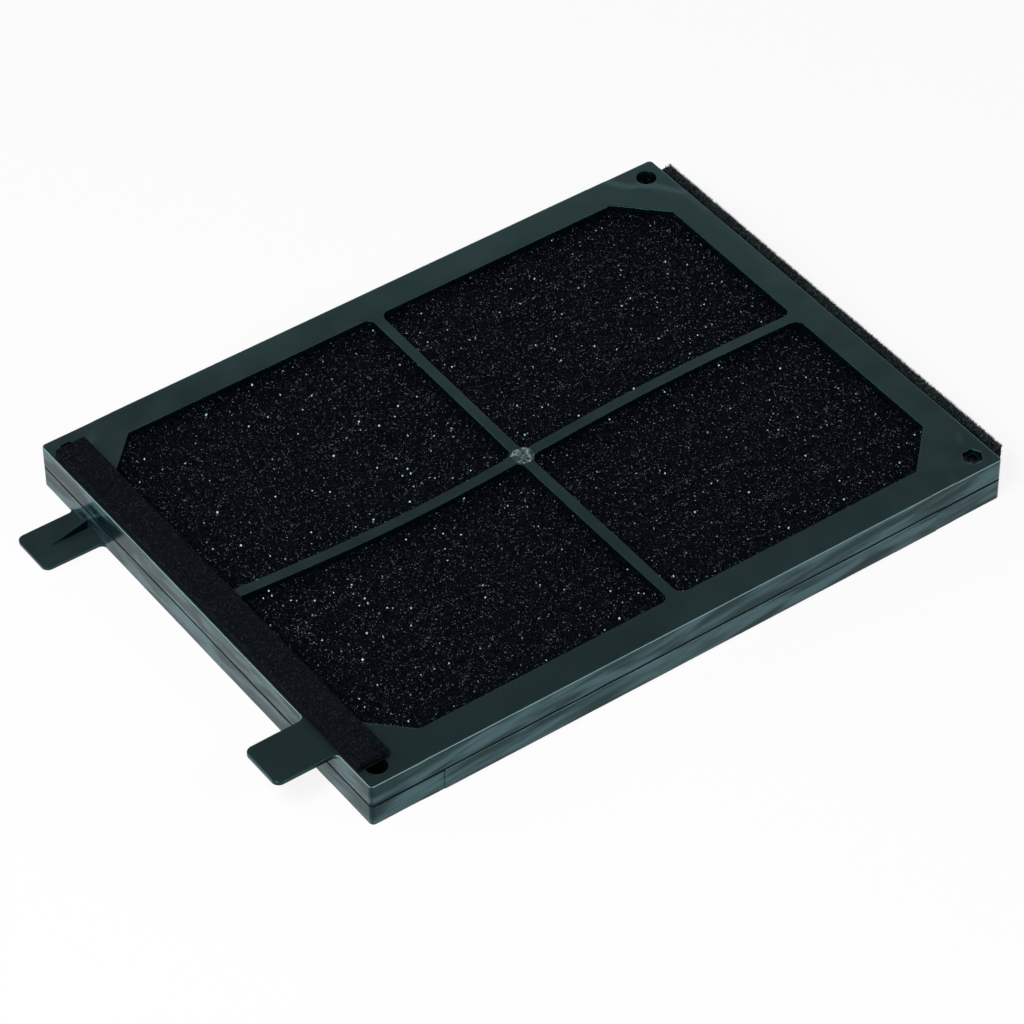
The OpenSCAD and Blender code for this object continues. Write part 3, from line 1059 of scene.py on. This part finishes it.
@dataclass(frozen=True)
class Studio:
    """The pale floor and backdrop, the soft light and the camera."""

    azimuth: float = -35.148
    elevation: float = 43.366
    roll: float = -0.740
    lens: float = 168.0
    distance: float = 1.4553
    aim: Colour = (-0.0048, -0.0021, -0.0047)
    world_level: float = 0.10
    floor_colour: Colour = (0.90, 0.90, 0.90)
    floor_lift: float = 0.88
    backdrop_radius: float = 3.5
    backdrop_height: float = 2.8

    def camera(self) -> None:
        """Adds the camera."""
        a, e = math.radians(self.azimuth), math.radians(self.elevation)
        back = Vector((math.sin(a) * math.cos(e), -math.cos(a) * math.cos(e), math.sin(e)))
        right = Vector((math.cos(a), math.sin(a), 0.0))
        frame_axes = Matrix((right, back.cross(right), back)).transposed()
        turn = frame_axes @ Matrix.Rotation(math.radians(self.roll), 3, "Z")
        data = bpy.data.cameras.new("camera")
        data.lens = self.lens
        data.sensor_width = 36.0
        data.clip_start, data.clip_end = 0.05, 50.0
        camera = link(bpy.data.objects.new("camera", data))
        camera.matrix_world = Matrix.Translation(Vector(self.aim) + back * self.distance) @ turn.to_4x4()
        bpy.context.scene.camera = camera

    def pale(self) -> bpy.types.Material:
        """The floor's finish: matt white, lifted for what sees it directly so that it stays white."""
        g = Graph("pale_floor")
        path = g.node("ShaderNodeLightPath")
        seen = g.maths("ADD", path.outputs["Is Camera Ray"], path.outputs["Is Glossy Ray"])
        seen = g.maths("ADD", seen, path.outputs["Is Transmission Ray"])
        share = g.maths("MULTIPLY", g.maths("MINIMUM", seen, 1.0), self.floor_lift)
        matt = g.node("ShaderNodeBsdfDiffuse", {"Color": (*self.floor_colour, 1.0)})
        glow = g.node("ShaderNodeEmission", {"Color": (1.0, 1.0, 1.0, 1.0), "Strength": 1.0})
        both = g.node("ShaderNodeMixShader", {0: share, 1: matt.outputs[0], 2: glow.outputs[0]})
        g.tree.links.new(both.outputs[0], g.output.inputs["Surface"])
        return g.material

    def ground(self) -> None:
        """Adds the floor and a round backdrop."""
        pale = self.pale()
        bm = bmesh.new()
        bmesh.ops.create_circle(bm, cap_ends=True, segments=64, radius=self.backdrop_radius)
        rim = [e for e in bm.edges if e.is_boundary]
        wall = bmesh.ops.extrude_edge_only(bm, edges=rim)
        top = [g for g in wall["geom"] if isinstance(g, bmesh.types.BMVert)]
        bmesh.ops.translate(bm, verts=top, vec=(0.0, 0.0, self.backdrop_height))
        bmesh.ops.translate(bm, verts=bm.verts, vec=(0.0, 0.0, -0.05 * MM))
        to_object(bm, "floor", pale)

    def light(self) -> None:
        """Adds the lamps and a plain grey world."""
        world = bpy.data.worlds.new("studio")
        world.use_nodes = True
        sky = world.node_tree.nodes["Background"]
        sky.inputs["Color"].default_value = (1.0, 1.0, 1.0, 1.0)
        sky.inputs["Strength"].default_value = self.world_level
        bpy.context.scene.world = world
        for box in (Softbox("key", (-0.55, -0.25, 0.80), 1.3, 0.50, 17.0),
                    Softbox("front", (0.42, -0.69, 0.60), 1.5, 0.50, 5.0),
                    Softbox("left", (-0.69, 0.59, 0.42), 1.5, 0.55, 5.0)):
            box.build()

    def build(self) -> None:
        """Sets up the whole studio."""
        self.camera()
        self.ground()
        self.light()
        bpy.context.scene.view_settings.view_transform = "Standard"


def main() -> None:
    """Builds every sub-assembly in order and reports each piece."""
    logging.basicConfig(level=logging.INFO, format="%(name)s: %(message)s")
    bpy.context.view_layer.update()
    Studio().build()
    low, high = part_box("upper_shell")
    moulded = MouldedPlastic(high.x, -low.y)
    plastics = (moulded.build("slate_plastic", 0.5), SeamShadePlastic().build(),
                moulded.build("handled_plastic", 0.25))
    made = [HalfShell(side, *plastics).build() for side in Side]
    gate = TornGate().build()
    scar = GateScar(gate, Vector((-0.35 * MM, -1.85 * MM, high.z - 0.16 * MM)))
    made.append(scar.build("gate_scar_top", "cover", 1.0))
    chip = CarbonChip("carbon_chip", (0.0010, 0.0015, 0.0028), (0.55, 0.72, 1.0), 0.12).build()
    # The glint chips' pale base colours are painted glints
    glints = (CarbonChip("carbon_glint_white", (0.50, 0.58, 0.68), (1.0, 1.0, 1.0), 0.2),
              CarbonChip("carbon_glint_violet", (0.38, 0.40, 0.66), (0.8, 0.8, 1.0), 0.2),
              CarbonChip("carbon_glint_warm", (0.60, 0.50, 0.36), (1.0, 0.9, 0.8), 0.2))
    made += CarbonMat(CarbonBed().build(), chip, tuple(kind.build() for kind in glints)).build()
    made.append(FoamStrip("top_seal_foam", SealFoam("fine_foam").build(), voxel=0.40 * MM,
                          edge_radius=0.7 * MM, pore=0.45 * MM, pore_depth=0.10 * MM,
                          sag=0.12 * MM, seed=Vector((2.0, 5.0, 1.0))).build())
    made.append(FoamStrip("end_seal_foam", SealFoam("coarse_foam", cell=0.6 * MM).build(),
                          voxel=0.40 * MM, edge_radius=0.5 * MM, pore=0.6 * MM,
                          pore_depth=0.16 * MM, sag=0.12 * MM,
                          seed=Vector((7.0, 1.0, 4.0))).build())
    made.append(FoamFuzz("end_seal_foam", FuzzFibre().build(), count=14000,
                         length=(0.45 * MM, 1.0 * MM), width=0.05 * MM, seed=3).build())
    kept = Fasteners(BlackenedSteel().build(), AdhesiveFilm().build()).dress()
    for piece in made:
        LOG.info("%s: %d faces", piece.name, len(piece.data.polygons))
    LOG.info("%d CAD nodes kept", kept)


if __name__ == "__main__":
    main()
